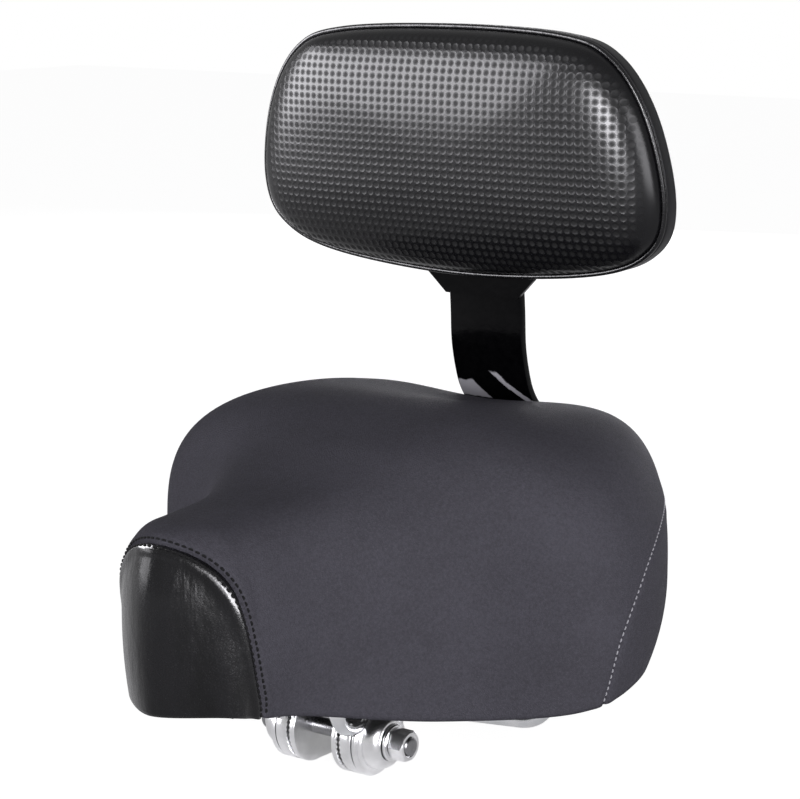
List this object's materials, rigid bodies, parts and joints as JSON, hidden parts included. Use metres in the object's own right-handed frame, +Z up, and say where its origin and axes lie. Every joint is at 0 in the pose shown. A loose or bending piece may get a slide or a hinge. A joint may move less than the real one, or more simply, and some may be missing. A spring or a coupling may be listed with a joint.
{
  "type": "bicycle saddle with backrest",
  "caption": "Wide padded bicycle saddle with a padded backrest on a bent flat post, steel rails and a seat-post clamp about whose bolt the saddle tilts.",
  "frame": {"origin": "centre of the lower mouth of the seat-post clamp, on the seat post's axis", "axes": "+Z up along the seat post, -Y towards the saddle's nose, +Y towards the backrest's back, +X towards the side with the clamp's nut"},
  "size_m": [0.2632, 0.2852, 0.3373],
  "materials": {
    "zinc": "zinc-plated steel",
    "chrome": "bright plated steel wire",
    "foam": "open-cell padding foam, never in sight",
    "seat_leatherette": "matt charcoal leatherette with a fine grain",
    "gloss_leatherette": "glossy black leatherette",
    "embossed_leatherette": "glossy black leatherette embossed with a fine grid",
    "black_steel": "gloss black paint on steel",
    "moulded_plastic": "black moulded plastic"
  },
  "bodies": {
    "clamp": {"clamp_band": "zinc", "clamp_bolt": "zinc", "clamp_nut": "zinc", "washer_left": "zinc", "washer_right": "zinc"},
    "saddle": {"backrest_board": "moulded_plastic", "backrest_cover": "embossed_leatherette", "backrest_foam": "foam", "backrest_piping": "gloss_leatherette", "backrest_plate": "black_steel", "backrest_post": "black_steel", "backrest_shell": "moulded_plastic", "bar_bolt_lower": "zinc", "bar_bolt_upper": "zinc", "inner_cup_left": "zinc", "inner_cup_right": "zinc", "nose_panel": "gloss_leatherette", "nose_socket": "moulded_plastic", "outer_cup_left": "zinc", "outer_cup_right": "zinc", "plate_screw_a": "zinc", "plate_screw_b": "zinc", "plate_screw_c": "zinc", "plate_screw_d": "zinc", "post_bolt_front": "zinc", "post_bolt_rear": "zinc", "rail_left": "chrome", "rail_right": "chrome", "rear_panel": "seat_leatherette", "rear_socket_left": "moulded_plastic", "rear_socket_right": "moulded_plastic", "seat_base": "moulded_plastic", "seat_cover": "seat_leatherette", "seat_foam": "foam", "socket_screw_left_front": "zinc", "socket_screw_left_rear": "zinc", "socket_screw_right_front": "zinc", "socket_screw_right_rear": "zinc"}
  },
  "joints": [
    {"name": "saddle_tilt", "type": "hinge", "parent": "clamp", "child": "saddle", "pos_m": [0, -0.0288, 0.0172], "axis": [1, 0, 0], "range_deg": [-12, 12]}
  ]
}
